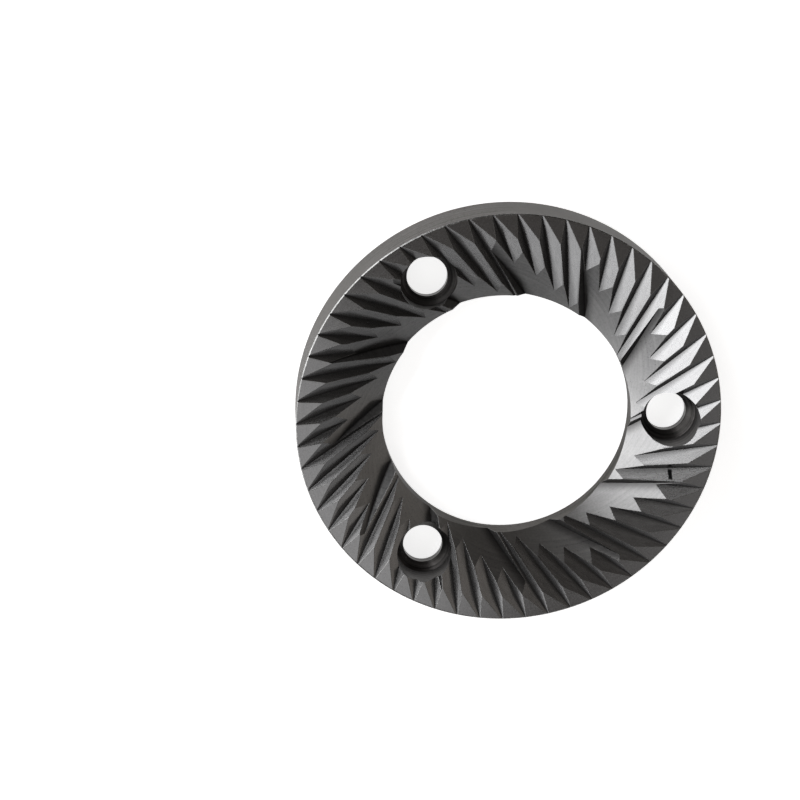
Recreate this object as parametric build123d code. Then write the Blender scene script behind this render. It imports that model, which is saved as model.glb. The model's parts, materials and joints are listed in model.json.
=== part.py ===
from build123d import *
import math
import os

# Flat grinder burr: one hardened steel ring with cutting teeth on its upper face.
# Millimetres and degrees. Z = 0 is the back, +Z points out of the toothed face,
# and +X runs from the axis through a tooth and the first screw hole.

# Blank
outer_diameter = 64.0
bore_diameter = 37.8
height = 8.4
seat_ring_width = 3.0         # flat ring around the back that the burr sits on
back_recess_depth = 1.8       # the rest of the back is turned this much lower

# Fine grooves, one beside each tooth
tooth_count = 56
groove_slant = 18.8           # from the radius to the groove's bottom line, seen from above
groove_fall = 13.3            # the bottom line sinks towards the bore
groove_floor_angle = 33.9     # slope of the broad flank
groove_wall_angle = 42.9      # slope of the narrow flank
groove_rim_overrun = 0.4      # the bottom line reaches the tooth tops this far outside the rim

# Gullets that feed the teeth from the bore
gullet_count = 12
gullet_clocking = 3.0         # tooth pitches from the tooth on +X to a gullet, clockwise
gullet_rim_margin = 3.2       # the gullet floor starts this far inside the rim
gullet_floor_angle = 34.3     # slope of the conical floor
gullet_axis_shift = 7.4       # from the burr's axis to the floor's own axis
gullet_axis_bearing = 82.6    # direction of that shift, anticlockwise from the gullet
gullet_wall_slant = 9.6       # from the radius to the wall's upper edge, seen from above
gullet_wall_angle = 53.1      # slope of the wall
gullet_wall_lead = 0.33       # the wall's edge starts this far anticlockwise at the rim

# Countersunk screw holes
screw_count = 3
screw_circle_diameter = 49.4
screw_hole_diameter = 6.1
screw_head_diameter = 8.5
screw_head_angle = 90.0
screw_neck_depth = 5.4        # from the tooth tops to the lower edge of the countersink

cut_overrun = 3.0             # how far each cut runs past the metal

outer_radius = outer_diameter / 2
bore_radius = bore_diameter / 2
tooth_pitch = 360 / tooth_count
gullet_pitch = 360 / gullet_count
screw_pitch = 360 / screw_count


def cosine(angle):
    return math.cos(math.radians(angle))


def sine(angle):
    return math.sin(math.radians(angle))


def tangent(angle):
    return math.tan(math.radians(angle))


def make_blank():
    ring = Cylinder(outer_radius, height, align=(Align.CENTER, Align.CENTER, Align.MIN))
    ring -= Cylinder(bore_radius, 3 * height)
    ring -= Cylinder(outer_radius - seat_ring_width, 2 * back_recess_depth)
    return ring


def make_groove():
    # A triangular bar along the bottom line: from above the rim, down and inwards past the bore.
    tip_radius = outer_radius + groove_rim_overrun
    offset_from_axis = tip_radius * sine(groove_slant)
    reach = tip_radius * cosine(groove_slant) - math.sqrt(bore_radius**2 - offset_from_axis**2)
    inwards = Vector(-cosine(groove_slant), -sine(groove_slant), 0)
    clockwise = Vector(sine(groove_slant), -cosine(groove_slant), 0)
    up = Vector(0, 0, 1)
    path = inwards * cosine(groove_fall) - up * sine(groove_fall)
    run = (reach + 2 * cut_overrun) / cosine(groove_fall)
    depth = run * sine(groove_fall) + cut_overrun
    start = Vector(tip_radius, 0, height) - path * cut_overrun
    floor_edge = start + clockwise * (depth / tangent(groove_floor_angle)) + up * depth
    wall_edge = start - clockwise * (depth / tangent(groove_wall_angle)) + up * depth
    section = Face(Wire.make_polygon([start, floor_edge, wall_edge], close=True))
    return extrude(section, amount=run, dir=path)


def make_gullet():
    # A cone on a shifted axis gives the rising floor, and a leaning slab cuts off all but one wall's side.
    # The slab runs from outside the rim to the axis, so that the floor reaches the bore all along.
    land_radius = outer_radius - gullet_rim_margin
    spread = 1 / tangent(gullet_floor_angle)
    floor_cone = Cone(
        land_radius - height * spread,
        land_radius + cut_overrun * spread,
        height + cut_overrun,
        align=(Align.CENTER, Align.CENTER, Align.MIN),
    )
    shift_x = gullet_axis_shift * cosine(gullet_axis_bearing)
    shift_y = gullet_axis_shift * sine(gullet_axis_bearing)
    floor_cone = Pos(shift_x, shift_y, 0) * floor_cone

    inwards = Vector(-cosine(gullet_wall_slant), -sine(gullet_wall_slant), 0)
    clockwise = Vector(sine(gullet_wall_slant), -cosine(gullet_wall_slant), 0)
    up = Vector(0, 0, 1)
    width = outer_radius * sine(gullet_pitch)
    edge = Vector(outer_radius, gullet_wall_lead, height) - inwards * cut_overrun
    lean = clockwise * (1 / tangent(gullet_wall_angle)) - up
    corners = [
        edge - lean * cut_overrun,
        edge + lean * height,
        edge + clockwise * width - up * height,
        edge + clockwise * width + up * cut_overrun,
    ]
    slab = extrude(
        Face(Wire.make_polygon(corners, close=True)),
        amount=outer_radius + cut_overrun,
        dir=inwards,
    )
    return floor_cone & slab


def make_screw_hole():
    neck = height - screw_neck_depth
    head_radius = screw_head_diameter / 2
    hole_radius = screw_hole_diameter / 2
    sink = (head_radius - hole_radius) / tangent(screw_head_angle / 2)
    bottom = (Align.CENTER, Align.CENTER, Align.MIN)
    hole = Cylinder(hole_radius, 3 * height)
    hole += Pos(0, 0, neck) * Cone(hole_radius, head_radius, sink, align=bottom)
    hole += Pos(0, 0, neck + sink) * Cylinder(head_radius, height, align=bottom)
    return Pos(screw_circle_diameter / 2, 0, 0) * hole


def make_burr():
    burr = make_blank()
    gullet = Rot(Z=-gullet_clocking * tooth_pitch) * make_gullet()
    for index in range(gullet_count):
        burr -= Rot(Z=index * gullet_pitch) * gullet
    groove = make_groove()
    for index in range(tooth_count):
        burr -= Rot(Z=index * tooth_pitch) * groove
    hole = make_screw_hole()
    for index in range(screw_count):
        burr -= Rot(Z=index * screw_pitch) * hole
    return burr


burr = make_burr()
burr.label = "burr"
os.makedirs("parts", exist_ok=True)
export_step(burr, "parts/burr.step")
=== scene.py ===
import json
import math

import bmesh
import bpy
from mathutils import Matrix, Quaternion, Vector


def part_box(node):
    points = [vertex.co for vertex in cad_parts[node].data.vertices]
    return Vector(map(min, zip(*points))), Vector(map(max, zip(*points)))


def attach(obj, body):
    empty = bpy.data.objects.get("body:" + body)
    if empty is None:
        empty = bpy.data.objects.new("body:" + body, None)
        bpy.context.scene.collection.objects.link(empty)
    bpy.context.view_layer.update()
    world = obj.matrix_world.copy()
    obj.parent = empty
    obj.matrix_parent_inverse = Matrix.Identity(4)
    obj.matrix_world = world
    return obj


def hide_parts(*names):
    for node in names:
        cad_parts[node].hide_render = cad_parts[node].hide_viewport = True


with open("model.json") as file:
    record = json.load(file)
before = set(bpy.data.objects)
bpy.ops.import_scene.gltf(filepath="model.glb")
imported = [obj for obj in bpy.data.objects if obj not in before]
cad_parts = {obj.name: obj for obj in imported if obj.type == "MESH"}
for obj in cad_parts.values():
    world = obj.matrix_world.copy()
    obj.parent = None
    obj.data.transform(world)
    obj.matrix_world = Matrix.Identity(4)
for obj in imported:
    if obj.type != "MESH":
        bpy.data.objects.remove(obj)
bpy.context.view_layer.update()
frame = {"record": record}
scene = bpy.context.scene
scene.view_settings.view_transform = "Standard"

mm = 0.001                                     # sizes below are in millimetres, the scene is in metres
fullTurn = 2 * math.pi
mounts = {mount["name"]: mount["dims"] for mount in frame["record"]["mounts"]}
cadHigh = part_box("burr")[1]


def linear(hexColour):
    parts = [int(hexColour[i:i + 2], 16) / 255 for i in (1, 3, 5)]
    return [p / 12.92 if p <= 0.04045 else ((p + 0.055) / 1.055) ** 2.4 for p in parts] + [1.0]


def addNode(tree, kind, settings=None, links=None):
    node = tree.nodes.new(kind)
    for name, value in (settings or {}).items():
        if isinstance(name, str) and hasattr(node, name):
            setattr(node, name, value)
        else:
            node.inputs[name].default_value = value
    for name, source in (links or {}).items():
        socket = source if isinstance(source, bpy.types.NodeSocket) else source.outputs[0]
        tree.links.new(socket, node.inputs[name])
    return node


# The ring and its cuts, as they are machined
burr = {
    "outerRadius": cadHigh.x / mm,
    "height": cadHigh.z / mm,
    "boreRadius": mounts["bore"]["r_mm"],
    "seatWidth": 3.0,                          # flat ring around the back
    "recessDepth": 1.8,
    "rimBreak": (0.2, 0.115),                  # how wide and deep the turned edge at the rim is broken
    "boreBreak": 0.1,
    "turnedSides": 672,                        # a multiple of the teeth, so that each gets the same facets
    "landTolerance": 0.001,
}
groove = {
    "count": 56,
    "slant": 18.8,                             # degrees from the radius
    "fall": 13.3,                              # the bottom sinks towards the bore
    "floorAngle": 33.9,
    "wallAngle": 42.9,
    "rimOverrun": 0.4,                         # the bottom line surfaces just outside the rim
}
gullet = {
    "count": 12,
    "clocking": 3.0,                           # tooth pitches clockwise from the tooth on +X
    "rimMargin": 3.2,
    "floorAngle": 34.3,
    "axisShift": 7.4,                          # the conical floor has its own axis
    "axisBearing": 82.6,
    "wallSlant": 9.6,
    "wallAngle": 53.1,
    "wallLead": 0.33,
    "sides": 384,
    "planeTolerance": 0.000001,
}
screw = {
    "count": mounts["screws"]["count"],
    "circleRadius": mounts["screws"]["pcd_mm"] / 2,
    "holeRadius": mounts["screws"]["hole_r_mm"],
    "headRadius": 4.25,
    "neckDepth": 5.4,                          # tooth tops to the lower edge of the countersink
    "sides": 160,
}
overrun = 3.0                                  # how far each cutter runs past the metal
toothPitch = fullTurn / groove["count"]
firstGullet = -gullet["clocking"] * toothPitch


def sideways(slant):
    turn = math.radians(slant)
    inwards = Vector((-math.cos(turn), -math.sin(turn), 0))
    clockwise = Vector((math.sin(turn), -math.cos(turn), 0))
    return inwards, clockwise


def toolAxis(shift, bearing, height=0.0):
    turn = math.radians(bearing)
    return (shift * math.cos(turn), shift * math.sin(turn), height)


up = Vector((0, 0, 1))
rim, top, bore = burr["outerRadius"], burr["height"], burr["boreRadius"]
tip = rim + groove["rimOverrun"]
fall = math.radians(groove["fall"])
land = rim - gullet["rimMargin"]
spread = 1 / math.tan(math.radians(gullet["floorAngle"]))
gulletAxis = toolAxis(gullet["axisShift"], gullet["axisBearing"])
gulletIn, gulletClockwise = sideways(gullet["wallSlant"])
gulletEdge = Vector((rim, gullet["wallLead"], top))
lean = math.radians(gullet["wallAngle"])
gulletWall = gulletClockwise * math.sin(lean) + up * math.cos(lean)

# What all the steels share
patterns = {
    "tone": {"From Min": 0.38, "From Max": 0.62},        # the part of the noise that goes from dark to light
    "roughness": {"From Min": 0.3, "From Max": 0.7},
    "pits": {"From Min": 0.6, "From Max": 0.72},         # only the noise's peaks are pits
    "pitShift": (31, 17, 5),                             # so that pits and grain don't fall together
    "cloudShare": 0.25,
    "grooveStep": 5.0,                                   # how far the noise moves on from groove to groove
    "shine": 0.5,                                        # the shader's own default
}


def cutFrame(tree, place, look):               # a point as its cut sees it: turned back to +X, from its axis
    pitch = fullTurn / look["repeats"]
    axes = addNode(tree, "ShaderNodeSeparateXYZ", links={0: place}).outputs
    bearing = addNode(tree, "ShaderNodeMath", {"operation": "ARCTAN2"}, {0: axes[1], 1: axes[0]})
    if "straight" in look:                     # a slanting groove shifts its bearing on the way in
        level = addNode(tree, "ShaderNodeVectorMath", {"operation": "MULTIPLY", 1: (1, 1, 0)}, {0: place})
        reach = addNode(tree, "ShaderNodeVectorMath", {"operation": "LENGTH"}, {0: level})
        sine = addNode(tree, "ShaderNodeMath", {"operation": "DIVIDE", 0: -look["axis"][1]},
                       {1: reach.outputs["Value"]})
        askew = addNode(tree, "ShaderNodeMath", {"operation": "ARCSINE"}, {0: sine})
        bearing = addNode(tree, "ShaderNodeMath", {"operation": "ADD"}, {0: bearing, 1: askew})
    ahead = addNode(tree, "ShaderNodeMath", {"operation": "ADD", 1: pitch * look["ahead"] - look["first"]},
                    {0: bearing})
    turn = addNode(tree, "ShaderNodeMath", {"operation": "SNAP", 1: pitch}, {0: ahead})
    back = addNode(tree, "ShaderNodeMath", {"operation": "SUBTRACT", 0: -look["first"]}, {1: turn})
    turned = addNode(tree, "ShaderNodeVectorRotate", {"rotation_type": "Z_AXIS"},
                     {"Vector": place, "Angle": back})
    own = addNode(tree, "ShaderNodeVectorMath", {"operation": "SUBTRACT", 1: look["axis"]}, {0: turned})
    return own, turn


def straightMarks(tree, own, turn, look):      # streaks along each cut, different in every one
    step = patterns["grooveStep"] * look["repeats"] / fullTurn
    number = addNode(tree, "ShaderNodeMath", {"operation": "MULTIPLY", 1: step}, {0: turn})
    finer = 1 / look["markWidth"]
    place = addNode(tree, "ShaderNodeVectorMath",
                    {"operation": "MULTIPLY", 1: (1 / look["markLength"], finer, finer)}, {0: own})
    return addNode(tree, "ShaderNodeTexNoise", {"noise_dimensions": "4D", "Scale": 1.0, "Detail": 2.0},
                   {"Vector": place, "W": number})


def ringMarks(tree, flat, radius, height, look):         # rings about the cut's axis
    around = addNode(tree, "ShaderNodeVectorMath", {"operation": "NORMALIZE"}, {0: flat})
    around = addNode(tree, "ShaderNodeVectorMath",
                     {"operation": "SCALE", "Scale": look["middle"] / look["markLength"]}, {0: around})
    outward = addNode(tree, "ShaderNodeMath", {"operation": "ADD"}, {0: radius, 1: height})
    outward = addNode(tree, "ShaderNodeMath", {"operation": "MULTIPLY", 1: 1 / look["markWidth"]},
                      {0: outward})
    lift = addNode(tree, "ShaderNodeCombineXYZ", links={2: outward})
    place = addNode(tree, "ShaderNodeVectorMath", {"operation": "ADD"}, {0: around, 1: lift})
    return addNode(tree, "ShaderNodeTexNoise", {"Scale": 1.0, "Detail": 2.0}, {"Vector": place})


def grooveShare(tree, axes):                   # across the groove over its depth: wall below 0, floor above
    sunk = addNode(tree, "ShaderNodeMath", {"operation": "MULTIPLY", 1: math.tan(fall)}, {0: axes[0]})
    return addNode(tree, "ShaderNodeMath", {"operation": "DIVIDE"}, {0: axes[1], 1: sunk})


def gulletShare(tree, own, axes, radius, look):          # off the wall along the floor, or up the wall
    wallPlane = (gulletEdge - Vector(look["axis"])).dot(gulletWall)
    offWall = addNode(tree, "ShaderNodeVectorMath", {"operation": "DOT_PRODUCT", 1: gulletWall}, {0: own})
    offWall = addNode(tree, "ShaderNodeMath", {"operation": "SUBTRACT", 1: wallPlane},
                      {0: offWall.outputs["Value"]})
    cone = addNode(tree, "ShaderNodeMath",
                   {"operation": "MULTIPLY_ADD", 1: spread, 2: land - top * spread}, {0: axes[2]})
    offFloor = addNode(tree, "ShaderNodeMath", {"operation": "SUBTRACT"}, {0: cone, 1: radius})
    offFloor = addNode(tree, "ShaderNodeMath", {"operation": "MULTIPLY", 1: look["steeper"]}, {0: offFloor})
    return addNode(tree, "ShaderNodeMath", {"operation": "MAXIMUM"}, {0: offWall, 1: offFloor})


def inkStroke(tree, place, ink):               # one short stroke of a marker pen, 1 where it lies
    shift = [-along - ink["sway"] / 2 for along in ink["place"]]
    wander = addNode(tree, "ShaderNodeTexNoise", {"Scale": 1 / ink["wander"]}, {"Vector": place})
    sway = addNode(tree, "ShaderNodeVectorMath",
                   {"operation": "MULTIPLY_ADD", 1: (ink["sway"],) * 3, 2: shift},
                   {0: wander.outputs["Color"]})
    fromInk = addNode(tree, "ShaderNodeVectorMath", {"operation": "ADD"}, {0: place, 1: sway})
    width, length = ink["size"]
    scaled = addNode(tree, "ShaderNodeVectorMath", {"operation": "MULTIPLY", 1: (2 / width, 2 / length, 0)},
                     {0: fromInk})
    beside = addNode(tree, "ShaderNodeVectorMath", {"operation": "ABSOLUTE"}, {0: scaled})
    sides = addNode(tree, "ShaderNodeSeparateXYZ", links={0: beside}).outputs
    farthest = addNode(tree, "ShaderNodeMath", {"operation": "MAXIMUM"}, {0: sides[0], 1: sides[1]})
    return addNode(tree, "ShaderNodeMapRange", {"From Min": 1 + ink["blur"], "From Max": 1 - ink["blur"]},
                   {"Value": farthest})


def steel(name, look):
    material = bpy.data.materials.new(name)
    material.use_nodes = True
    tree = material.node_tree
    tree.nodes.clear()
    metres = addNode(tree, "ShaderNodeTexCoord").outputs["Object"]
    place = addNode(tree, "ShaderNodeVectorMath", {"operation": "SCALE", "Scale": 1 / mm}, {0: metres})
    own, turn = cutFrame(tree, place, look) if "repeats" in look else (place, None)
    axes = addNode(tree, "ShaderNodeSeparateXYZ", links={0: own}).outputs
    flat = addNode(tree, "ShaderNodeVectorMath", {"operation": "MULTIPLY", 1: (1, 1, 0)}, {0: own})
    radius = addNode(tree, "ShaderNodeVectorMath", {"operation": "LENGTH"}, {0: flat}).outputs["Value"]

    # Cutter marks with a grain in them, wide clouds and small pits
    if "straight" in look:
        marks = straightMarks(tree, own, turn, look)
    else:
        marks = ringMarks(tree, flat, radius, axes[2], look)
    grain = addNode(tree, "ShaderNodeTexNoise", {"Scale": 1 / look["grain"], "Detail": 2.0},
                    {"Vector": place})
    cloud = addNode(tree, "ShaderNodeTexNoise", {"Scale": 1 / look["cloud"], "Detail": 3.0},
                    {"Vector": place})
    elsewhere = addNode(tree, "ShaderNodeVectorMath", {"operation": "ADD", 1: patterns["pitShift"]},
                        {0: place})
    pits = addNode(tree, "ShaderNodeTexNoise", {"Scale": 1 / look["pit"], "Detail": 1.0, "Roughness": 0.3},
                   {"Vector": elsewhere})
    pitted = addNode(tree, "ShaderNodeMapRange", patterns["pits"] | {"To Max": look["pitShade"]},
                     {"Value": pits})
    marked = addNode(tree, "ShaderNodeMix", {"data_type": "FLOAT", "Factor": look["grainShare"]},
                     {"A": marks, "B": grain})
    tone = addNode(tree, "ShaderNodeMix", {"data_type": "FLOAT", "Factor": patterns["cloudShare"]},
                   {"A": marked, "B": cloud})
    shade = addNode(tree, "ShaderNodeMapRange", patterns["tone"], {"Value": tone})
    colour = addNode(tree, "ShaderNodeMix",
                     {"data_type": "RGBA", "A": linear(look["dark"]), "B": linear(look["light"])},
                     {"Factor": shade})
    over = [(pitted, look["pitColour"])]       # what is mixed over the steel's colour, and in which colour: pits, painted shade, ink
    if "creaseShade" in look:                         # painted shade where two faces of a cut meet, darkest in the crease
        if "straight" in look:
            share = grooveShare(tree, axes)
        else:
            share = gulletShare(tree, own, axes, radius, look)
        sides = [addNode(tree, "ShaderNodeMapRange",
                         {"interpolation_type": "SMOOTHSTEP", "From Min": unshadedAt, "From Max": shadedAt},
                         {"Value": share}) for unshadedAt, shadedAt in look["creaseShade"]]
        creaseShade = addNode(tree, "ShaderNodeMath", {"operation": "MULTIPLY", 1: look["creaseShadeStrength"]}, {0: sides[0]})
        for side in sides[1:]:
            creaseShade = addNode(tree, "ShaderNodeMath", {"operation": "MULTIPLY"}, {0: creaseShade, 1: side})
        over.append((creaseShade, look["creaseShadeColour"]))

    smoothest, roughest = look["roughness"]
    rough = addNode(tree, "ShaderNodeMapRange",
                    patterns["roughness"] | {"To Min": smoothest, "To Max": roughest}, {"Value": marked})
    relief = addNode(tree, "ShaderNodeBump",
                     {"Strength": look["relief"], "Distance": look["markDepth"] * mm}, {"Height": marked})
    settings = {"Metallic": look.get("metal", 1.0)}
    links = {"Roughness": rough, "Normal": relief}
    if "edgeTint" in look:                     # dull skin: little mirror shine at a flat angle
        settings["Specular Tint"] = linear(look["edgeTint"])
        settings["Specular IOR Level"] = look.get("shine", patterns["shine"])
    if "ink" in look:
        ink = look["ink"]
        inked = inkStroke(tree, place, ink)
        over.append((inked, ink["colour"]))
        links["Roughness"] = addNode(tree, "ShaderNodeMix", {"data_type": "FLOAT", "B": ink["roughness"]},
                                     {"Factor": inked, "A": rough})
        links["Metallic"] = addNode(tree, "ShaderNodeMath", {"operation": "SUBTRACT", 0: 1.0}, {1: inked})
        links["Specular IOR Level"] = addNode(tree, "ShaderNodeMapRange",
                                              {"To Min": patterns["shine"], "To Max": ink["shine"]},
                                              {"Value": inked})
    for cover, tint in over:
        colour = addNode(tree, "ShaderNodeMix", {"data_type": "RGBA", "B": linear(tint)},
                         {"Factor": cover, "A": colour.outputs["Result"]})
    links["Base Color"] = colour.outputs["Result"]
    shader = addNode(tree, "ShaderNodeBsdfPrincipled", settings, links)
    addNode(tree, "ShaderNodeOutputMaterial", links={"Surface": shader})
    return material


# The wheel, cutter and lathe leave marks a few hundredths of a millimetre apart, drawn coarser here to show.
# A cut's look also says how often it repeats, the bearing of the first one, and which share of a pitch
# clockwise of its axis still belongs to it (ahead). Its painted shade goes from none to full within each
# pair, as grooveShare and gulletShare count.
finishes = {
    # Ground tool steel: flat, dark and even, with the fine grain of the wheel's grit
    "groundSteel": {
        "dark": "#757576", "light": "#848485", "roughness": (0.14, 0.18),
        "middle": 26, "markLength": 5.0, "markWidth": 0.25, "markDepth": 0.002, "relief": 0.1,
        "grain": 0.24, "grainShare": 0.7, "cloud": 7.0, "pit": 0.3, "pitShade": 0.12, "pitColour": "#4a4a4b",
    },
    # Milled tool steel: smooth, with faint streaks along each groove and painted shade in its bottom
    "milledSteel": {
        "dark": "#828283", "light": "#929293", "roughness": (0.25, 0.3),
        "straight": True, "markLength": 5.0, "markWidth": 0.3, "markDepth": 0.002, "relief": 0.06,
        "grain": 0.3, "grainShare": 0.3, "cloud": 6.0, "pit": 0.24, "pitShade": 0.08, "pitColour": "#505051",
        "repeats": groove["count"], "first": math.radians(groove["slant"]), "ahead": 0.58,
        "axis": toolAxis(tip, -groove["slant"], top),
        # painted shade in the groove's bottom, where its wall and floor meet
        "creaseShade": ((-0.8, -0.1), (0.45, 0.0)), "creaseShadeStrength": 0.55, "creaseShadeColour": "#2a2929",
        "ink": {"place": (24.96, -8.76, 7.4), "size": (0.6, 1.35), "blur": 0.15, "sway": 0.2, "wander": 0.7,
                "colour": "#08080a", "roughness": 0.8, "shine": 0.1},
    },
    # Gullet floors: fine arcs of the larger cutter about its own axis, painted shade beside the wall
    "gulletSteel": {
        "dark": "#7a7a7b", "light": "#8c8c8c", "roughness": (0.27, 0.32),
        "middle": 20, "markLength": 14.0, "markWidth": 0.25, "markDepth": 0.002, "relief": 0.06,
        "grain": 0.3, "grainShare": 0.4, "cloud": 5.0, "pit": 0.3, "pitShade": 0.12, "pitColour": "#4c4c4d",
        "repeats": gullet["count"], "first": firstGullet, "ahead": 0.85, "axis": gulletAxis,
        # painted shade on the floor beside the gullet's wall
        "creaseShade": ((1.6, 0.0),), "steeper": 2.5, "creaseShadeStrength": 0.7, "creaseShadeColour": "#2a2929",
    },
    # Turned rim under a grey oxide skin: half matte, with fine rings from the lathe all the way round
    "rimSteel": {
        "dark": "#656361", "light": "#7d7b79", "roughness": (0.4, 0.5),
        "middle": 30, "markLength": 400.0, "markWidth": 0.3, "markDepth": 0.006, "relief": 0.5,
        "grain": 0.4, "grainShare": 0.15, "cloud": 9.0, "pit": 0.5, "pitShade": 0.2, "pitColour": "#5c5856",
        "metal": 0.3, "edgeTint": "#707070", "shine": 0.08,
    },
    # Turned bore and back: dark, with fine rings from the lathe
    "turnedSteel": {
        "dark": "#4c4b49", "light": "#6a6866", "roughness": (0.3, 0.38),
        "middle": 24, "markLength": 25.0, "markWidth": 0.4, "markDepth": 0.004, "relief": 0.35,
        "grain": 0.35, "grainShare": 0.3, "cloud": 9.0, "pit": 0.5, "pitShade": 0.2, "pitColour": "#3a3938",
        "edgeTint": "#b0b0b0",
    },
    # Drilled and countersunk holes: darker, with the drill's rings
    "drilledSteel": {
        "dark": "#343332", "light": "#5e5c5b", "roughness": (0.28, 0.38),
        "middle": 4, "markLength": 14.0, "markWidth": 0.35, "markDepth": 0.01, "relief": 0.7,
        "grain": 0.3, "grainShare": 0.1, "cloud": 4.0, "pit": 0.5, "pitShade": 0.2, "pitColour": "#2b2a2a",
        "repeats": screw["count"], "first": 0.0, "ahead": 0.5, "axis": toolAxis(screw["circleRadius"], 0.0),
    },
    # Worn edges: the bare line along every cutting edge, a little brighter than the faces beside it
    "wornEdgeSteel": {
        "dark": "#6c6c6c", "light": "#949494", "roughness": (0.22, 0.3),
        "middle": 26, "markLength": 3.0, "markWidth": 1.0, "markDepth": 0.001, "relief": 0.0,
        "grain": 0.5, "grainShare": 0.8, "cloud": 3.0, "pit": 0.5, "pitShade": 0.0, "pitColour": "#505050",
    },
}
steels = {name: steel(name, look) for name, look in finishes.items()}
print("steel finishes:", ", ".join(steels))


def spun(profile, sides, ring, finishOf=None):
    work = bmesh.new()
    turns = [fullTurn * k / sides for k in range(sides)]
    loops = []
    for radius, height in profile:
        points = [(radius * math.cos(turn), radius * math.sin(turn), height) for turn in turns]
        steps = points if radius > 0 else points[:1]     # a single point on the axis
        loops.append([work.verts.new([along * mm for along in point]) for point in steps])
    following = loops[1:] + loops[:1] if ring else loops[1:]
    for band, (lower, upper) in enumerate(zip(loops, following)):
        for k in range(sides):
            corners = [lower[k % len(lower)], lower[(k + 1) % len(lower)],
                       upper[(k + 1) % len(upper)], upper[k % len(upper)]]
            face = work.faces.new(list(dict.fromkeys(corners)))
            face.material_index = finishOf[band] if finishOf else 0
    return work


def finished(work, name, *finishNames):
    bmesh.ops.recalc_face_normals(work, faces=work.faces)
    mesh = bpy.data.meshes.new(name)
    work.to_mesh(mesh)
    work.free()
    for finish in finishNames:
        mesh.materials.append(steels[finish])
    tool = bpy.data.objects.new(name, mesh)
    scene.collection.objects.link(tool)
    return tool


# Blank: the turned ring, with its finishes band by band in the profile's order
breakWidth, breakDepth = burr["rimBreak"]
boreBreak = burr["boreBreak"]
seat = rim - burr["seatWidth"]
recess = burr["recessDepth"]
blankProfile = [
    (bore, recess + boreBreak), (bore, top - boreBreak), (bore + boreBreak, top), (rim - breakWidth, top),
    (rim, top - breakDepth), (rim, breakDepth), (rim - breakWidth, 0), (seat, 0), (seat, recess),
    (bore + boreBreak, recess),
]
turnedFace, rimFace, groundFace, brokenEdge = range(4)
blankFinish = [
    turnedFace, brokenEdge, groundFace, brokenEdge, rimFace, brokenEdge, groundFace, turnedFace, turnedFace,
    brokenEdge,
]
blank = finished(spun(blankProfile, burr["turnedSides"], True, blankFinish), "burrBody",
                 "turnedSteel", "rimSteel", "groundSteel", "wornEdgeSteel")

# Screw hole cutter: clearance hole, countersink and counterbore in one
neck = top - screw["neckDepth"]
shoulder = neck + screw["headRadius"] - screw["holeRadius"]
screwProfile = [
    (0, -overrun), (screw["holeRadius"], -overrun), (screw["holeRadius"], neck),
    (screw["headRadius"], shoulder), (screw["headRadius"], top + overrun), (0, top + overrun),
]
screwTool = finished(spun(screwProfile, screw["sides"], False), "screwTool", "drilledSteel")
screwTool.data.transform(Matrix.Translation((screw["circleRadius"] * mm, 0, 0)))

# Groove cutter: a three-sided bar that sinks towards the bore
inwards, clockwise = sideways(groove["slant"])
reach = -tip * inwards.x - math.sqrt(bore ** 2 - (tip * inwards.y) ** 2)
path = inwards * math.cos(fall) - up * math.sin(fall)
run = (reach + 2 * overrun) / math.cos(fall)
depth = run * math.sin(fall) + overrun
start = Vector((tip, 0, top)) - path * overrun
section = [
    start,
    start + clockwise * depth / math.tan(math.radians(groove["floorAngle"])) + up * depth,
    start - clockwise * depth / math.tan(math.radians(groove["wallAngle"])) + up * depth,
]
work = bmesh.new()
near = [work.verts.new(point * mm) for point in section]
far = [work.verts.new((point + path * run) * mm) for point in section]
work.faces.new(near)
work.faces.new(far)
for k in range(len(section)):
    after = (k + 1) % len(section)
    work.faces.new([near[k], near[after], far[after], far[k]])
grooveTool = finished(work, "grooveTool", "milledSteel")

# Gullet cutter: a cone about its own axis, kept only on the clockwise side of the leaning wall
coneProfile = [
    (0, 0), (land - top * spread, 0), (land + overrun * spread, top + overrun), (0, top + overrun),
]
work = spun(coneProfile, gullet["sides"], False)
bmesh.ops.translate(work, verts=work.verts, vec=Vector(gulletAxis) * mm)
across = rim * math.sin(fullTurn / gullet["count"])
gulletPlanes = [
    (gulletEdge, gulletWall),
    (gulletEdge + gulletClockwise * across, -gulletClockwise),
    (gulletEdge + gulletIn * rim, -gulletIn),  # at the axis, so that the floor reaches the bore all along
]
for point, keep in gulletPlanes:
    cut = bmesh.ops.bisect_plane(work, geom=work.verts[:] + work.edges[:] + work.faces[:],
                                 plane_co=point * mm, plane_no=keep, clear_inner=True,
                                 dist=gullet["planeTolerance"] * mm)["geom_cut"]
    openEdges = [item for item in cut if isinstance(item, bmesh.types.BMEdge)]
    bmesh.ops.contextual_create(work, geom=openEdges)
gulletTool = finished(work, "gulletTool", "gulletSteel")
print("cutters:", grooveTool.name, gulletTool.name, screwTool.name)

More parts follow.
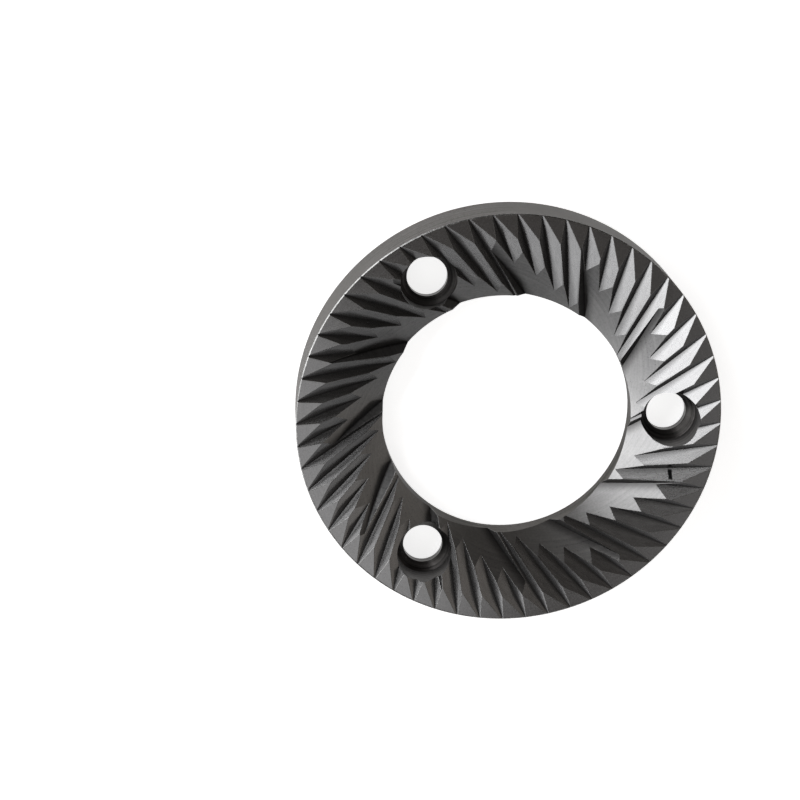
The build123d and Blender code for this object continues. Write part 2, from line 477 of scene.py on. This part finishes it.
# The cutting tree: each cutter is repeated around the axis and taken off the ring
tree = bpy.data.node_groups.new("burrCutting", "GeometryNodeTree")
cutters = {                                    # cutter, how often it repeats, bearing of the first cut
    "Groove": (grooveTool, groove["count"], 0.0),
    "Gullet": (gulletTool, gullet["count"], firstGullet),
    "Screw": (screwTool, screw["count"], 0.0),
}
treeInputs = {                                 # kind of socket and value; the ring is the modifier's own mesh
    "Ring": ("Geometry", None),
    "Land Height": ("Float", top * mm),
    "Land Steel": ("Material", steels["groundSteel"]),
}
for kind, (cutter, count, first) in cutters.items():
    treeInputs[kind + " Cutter"] = ("Object", cutter)
    treeInputs[kind + " Count"] = ("Int", count)
    treeInputs[kind + " Start"] = ("Float", first)
sockets = {name: tree.interface.new_socket(name, in_out="INPUT", socket_type="NodeSocket" + kind)
           for name, (kind, value) in treeInputs.items()}
tree.interface.new_socket("Burr", in_out="OUTPUT", socket_type="NodeSocketGeometry")
inputs = addNode(tree, "NodeGroupInput").outputs
cutting = addNode(tree, "GeometryNodeMeshBoolean", {"operation": "DIFFERENCE", "solver": "MANIFOLD"},
                  {"Mesh 1": inputs["Ring"]})
index = addNode(tree, "GeometryNodeInputIndex")
for kind in cutters:
    count = inputs[kind + " Count"]
    cutter = addNode(tree, "GeometryNodeObjectInfo", links={"Object": inputs[kind + " Cutter"]})
    pitch = addNode(tree, "ShaderNodeMath", {"operation": "DIVIDE", 0: fullTurn}, {1: count})
    turn = addNode(tree, "ShaderNodeMath", {"operation": "MULTIPLY_ADD"},
                   {0: index, 1: pitch, 2: inputs[kind + " Start"]})
    stations = addNode(tree, "GeometryNodeMeshLine", {"Offset": (0, 0, 0)}, {"Count": count})
    cuts = addNode(tree, "GeometryNodeInstanceOnPoints",
                   links={"Points": stations, "Instance": cutter.outputs["Geometry"],
                          "Rotation": addNode(tree, "ShaderNodeCombineXYZ", links={2: turn})})
    tree.links.new(cuts.outputs[0], cutting.inputs["Mesh 2"])
position = addNode(tree, "GeometryNodeInputPosition")
heightHere = addNode(tree, "ShaderNodeSeparateXYZ", links={0: position}).outputs[2]
onLand = addNode(tree, "FunctionNodeCompare",
                 {"operation": "EQUAL", "Epsilon": burr["landTolerance"] * mm},
                 {"A": heightHere, "B": inputs["Land Height"]})
realized = addNode(tree, "GeometryNodeRealizeInstances", links={0: cutting})
landed = addNode(tree, "GeometryNodeSetMaterial",
                 links={"Geometry": realized, "Selection": onLand, "Material": inputs["Land Steel"]})
addNode(tree, "NodeGroupOutput", links={0: landed})

modifier = blank.modifiers.new("cutting", "NODES")
modifier.node_group = tree
for name, (kind, value) in treeInputs.items():
    if value is not None:
        modifier[sockets[name].identifier] = value
mesh = bpy.data.meshes.new_from_object(blank.evaluated_get(bpy.context.evaluated_depsgraph_get()))
blank.modifiers.remove(modifier)
blank.data = mesh
for tool in (grooveTool, gulletTool, screwTool):
    bpy.data.objects.remove(tool)
print("cut ring:", len(mesh.polygons), "faces,", [m.name for m in mesh.materials])

# Honed edges: every sharp outer edge gets a small rounding of brighter steel
honing = {
    "edgeRadius": 0.03,                        # what honing leaves on the cutting edges
    "segments": 2,
    "profile": 0.5,                            # round
    "sharpAngle": 20.0,                        # edges that turn by more degrees than this are honed
    "shortestEdge": 0.25,
    "weldGap": 0.02,                           # corners closer than this become one
    "sliverLength": 0.01,
}
work = bmesh.new()
work.from_mesh(mesh)
bmesh.ops.remove_doubles(work, verts=work.verts, dist=honing["weldGap"] * mm)
bmesh.ops.dissolve_degenerate(work, edges=work.edges, dist=honing["sliverLength"] * mm)
outer = [e for e in work.edges if e.is_manifold and e.is_convex]
sharp = [e for e in outer if e.calc_face_angle() > math.radians(honing["sharpAngle"])
         and e.calc_length() > honing["shortestEdge"] * mm]
bmesh.ops.bevel(work, geom=sharp, offset=honing["edgeRadius"] * mm, segments=honing["segments"],
                profile=honing["profile"], affect="EDGES", clamp_overlap=False,
                material=mesh.materials.find("wornEdgeSteel"))
for face in work.faces:
    face.smooth = False
print("bevelled", len(sharp), "edges; open", sum(1 for e in work.edges if not e.is_manifold))
work.to_mesh(mesh)
work.free()
blank.name = "grinderBurr"
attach(blank, "root")
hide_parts("burr")
print("burr:", len(mesh.polygons), "faces")

# Floor: pale and plain, white to the eye, with the burr's shadow on it
floorLook = {
    "radius": 3.0,                             # metres
    "sides": 96,
    "paint": "#f2f2f2",
    "roughness": 0.9,
    "glow": 0.78,
}
work = bmesh.new()
bmesh.ops.create_circle(work, cap_ends=True, segments=floorLook["sides"], radius=floorLook["radius"])
floorMesh = bpy.data.meshes.new("floor")
work.to_mesh(floorMesh)
work.free()
floor = bpy.data.objects.new("floor", floorMesh)
scene.collection.objects.link(floor)
floorPaint = bpy.data.materials.new("paleFloor")
floorPaint.use_nodes = True
tree = floorPaint.node_tree
tree.nodes.clear()
rays = addNode(tree, "ShaderNodeLightPath").outputs
seen = addNode(tree, "ShaderNodeMath", {"operation": "MAXIMUM"},
               {0: rays["Is Camera Ray"], 1: rays["Is Glossy Ray"]})
seen = addNode(tree, "ShaderNodeMath", {"operation": "MAXIMUM"}, {0: seen, 1: rays["Is Transmission Ray"]})
glow = addNode(tree, "ShaderNodeMath", {"operation": "MULTIPLY", 1: floorLook["glow"]}, {0: seen})
paint = addNode(tree, "ShaderNodeBsdfPrincipled",
                {"Base Color": linear(floorLook["paint"]), "Roughness": floorLook["roughness"],
                 "Emission Color": linear("#ffffff")}, {"Emission Strength": glow})
addNode(tree, "ShaderNodeOutputMaterial", links={"Surface": paint})
floorMesh.materials.append(floorPaint)
print("floor:", floorPaint.name)

# Studio: one long softbox on the left and weaker panels around it. Each lamp looks at the burr from its
# azimuth and elevation in degrees. Distance and size are in metres.
lamps = {
    "keySoftbox": {"from": (151.5, 39.6), "roll": -1.0, "distance": 0.8, "size": (0.84, 0.22), "power": 2.75},
    "tailPanel": {"from": (192.0, 27.0), "roll": -5.0, "distance": 0.8, "size": (0.36, 0.28), "power": 0.85},
    "lowPanel": {"from": (226.0, 9.4), "roll": -39.0, "distance": 0.8, "size": (0.76, 0.35), "power": 1.35},
    "topPanel": {"from": (233.5, 68.4), "roll": -2.0, "distance": 0.7, "size": (0.5, 0.24), "power": 0.37},
    "farPanel": {"from": (315.0, 60.8), "roll": 28.0, "distance": 0.7, "size": (0.97, 0.17), "power": 0.15},
    "leftPanel": {"from": (135.0, 13.6), "roll": 5.5, "distance": 0.8, "size": (0.97, 0.145), "power": 0.75},
    "sidePanel": {"from": (284.5, 9.0), "roll": -9.0, "distance": 0.8, "size": (1.4, 0.36), "power": 0.62},
    "rightPanel": {"from": (352.0, 18.7), "roll": 16.0, "distance": 0.8, "size": (1.15, 0.19), "power": 0.31,
                   "colour": "#fff6ec"},
    "backPanel": {"from": (98.0, 44.0), "roll": 15.0, "distance": 0.8, "size": (0.4, 0.4), "power": 0.06},
}
for name, lamp in lamps.items():
    light = bpy.data.lights.new(name, "AREA")
    light.shape = "RECTANGLE"
    light.energy = lamp["power"]
    light.color = linear(lamp.get("colour", "#ffffff"))[:3]
    light.size, light.size_y = lamp["size"]
    azimuth, elevation = [math.radians(angle) for angle in lamp["from"]]
    aside = math.cos(elevation)
    towards = Vector((math.cos(azimuth) * aside, math.sin(azimuth) * aside, math.sin(elevation)))
    facing = towards.to_track_quat("Z", "Y") @ Quaternion((0, 0, 1), math.radians(lamp["roll"]))
    holder = bpy.data.objects.new(name, light)
    holder.matrix_world = Matrix.Translation(towards * lamp["distance"]) @ facing.to_matrix().to_4x4()
    holder.visible_camera = False
    scene.collection.objects.link(holder)

room = {"paint": "#fff6ee", "walls": 0.05, "ceiling": 0.2, "wallTop": 0.35}    # dim room, lighter above
world = bpy.data.worlds.new("studioRoom")
world.use_nodes = True
tree = world.node_tree
background = tree.nodes["Background"].inputs
ray = addNode(tree, "ShaderNodeTexCoord").outputs["Generated"]
rayUp = addNode(tree, "ShaderNodeSeparateXYZ", links={0: ray}).outputs[2]
brightness = addNode(tree, "ShaderNodeMapRange",
                     {"From Min": room["wallTop"], "To Min": room["walls"], "To Max": room["ceiling"]},
                     {"Value": rayUp})
background["Color"].default_value = linear(room["paint"])
tree.links.new(brightness.outputs[0], background["Strength"])
scene.world = world
print("studio:", ", ".join(lamps))

# Camera: looks down on the teeth, with the burr to the right of the middle
camera = {
    "place": (-33.775, 89.06, 268.878),
    "aim": (-16.516, 3.865, top),
    "roll": 0.717,
    "lens": 83.25,
    "sensor": 36.0,
    "clip": (0.01, 20.0),                      # metres
}
view = bpy.data.cameras.new("camera")
view.lens, view.sensor_width = camera["lens"], camera["sensor"]
view.clip_start, view.clip_end = camera["clip"]
place = Vector(camera["place"])
back = (place - Vector(camera["aim"])).normalized()
right = Vector((0, 1, 0)).cross(back).normalized()
upright = Matrix((right, back.cross(right), back)).transposed()
pose = upright @ Matrix.Rotation(math.radians(camera["roll"]), 3, "Z")
viewer = bpy.data.objects.new("camera", view)
viewer.matrix_world = Matrix.Translation(place * mm) @ pose.to_4x4()
scene.collection.objects.link(viewer)
scene.camera = viewer
print("camera:", camera["lens"], "mm lens")
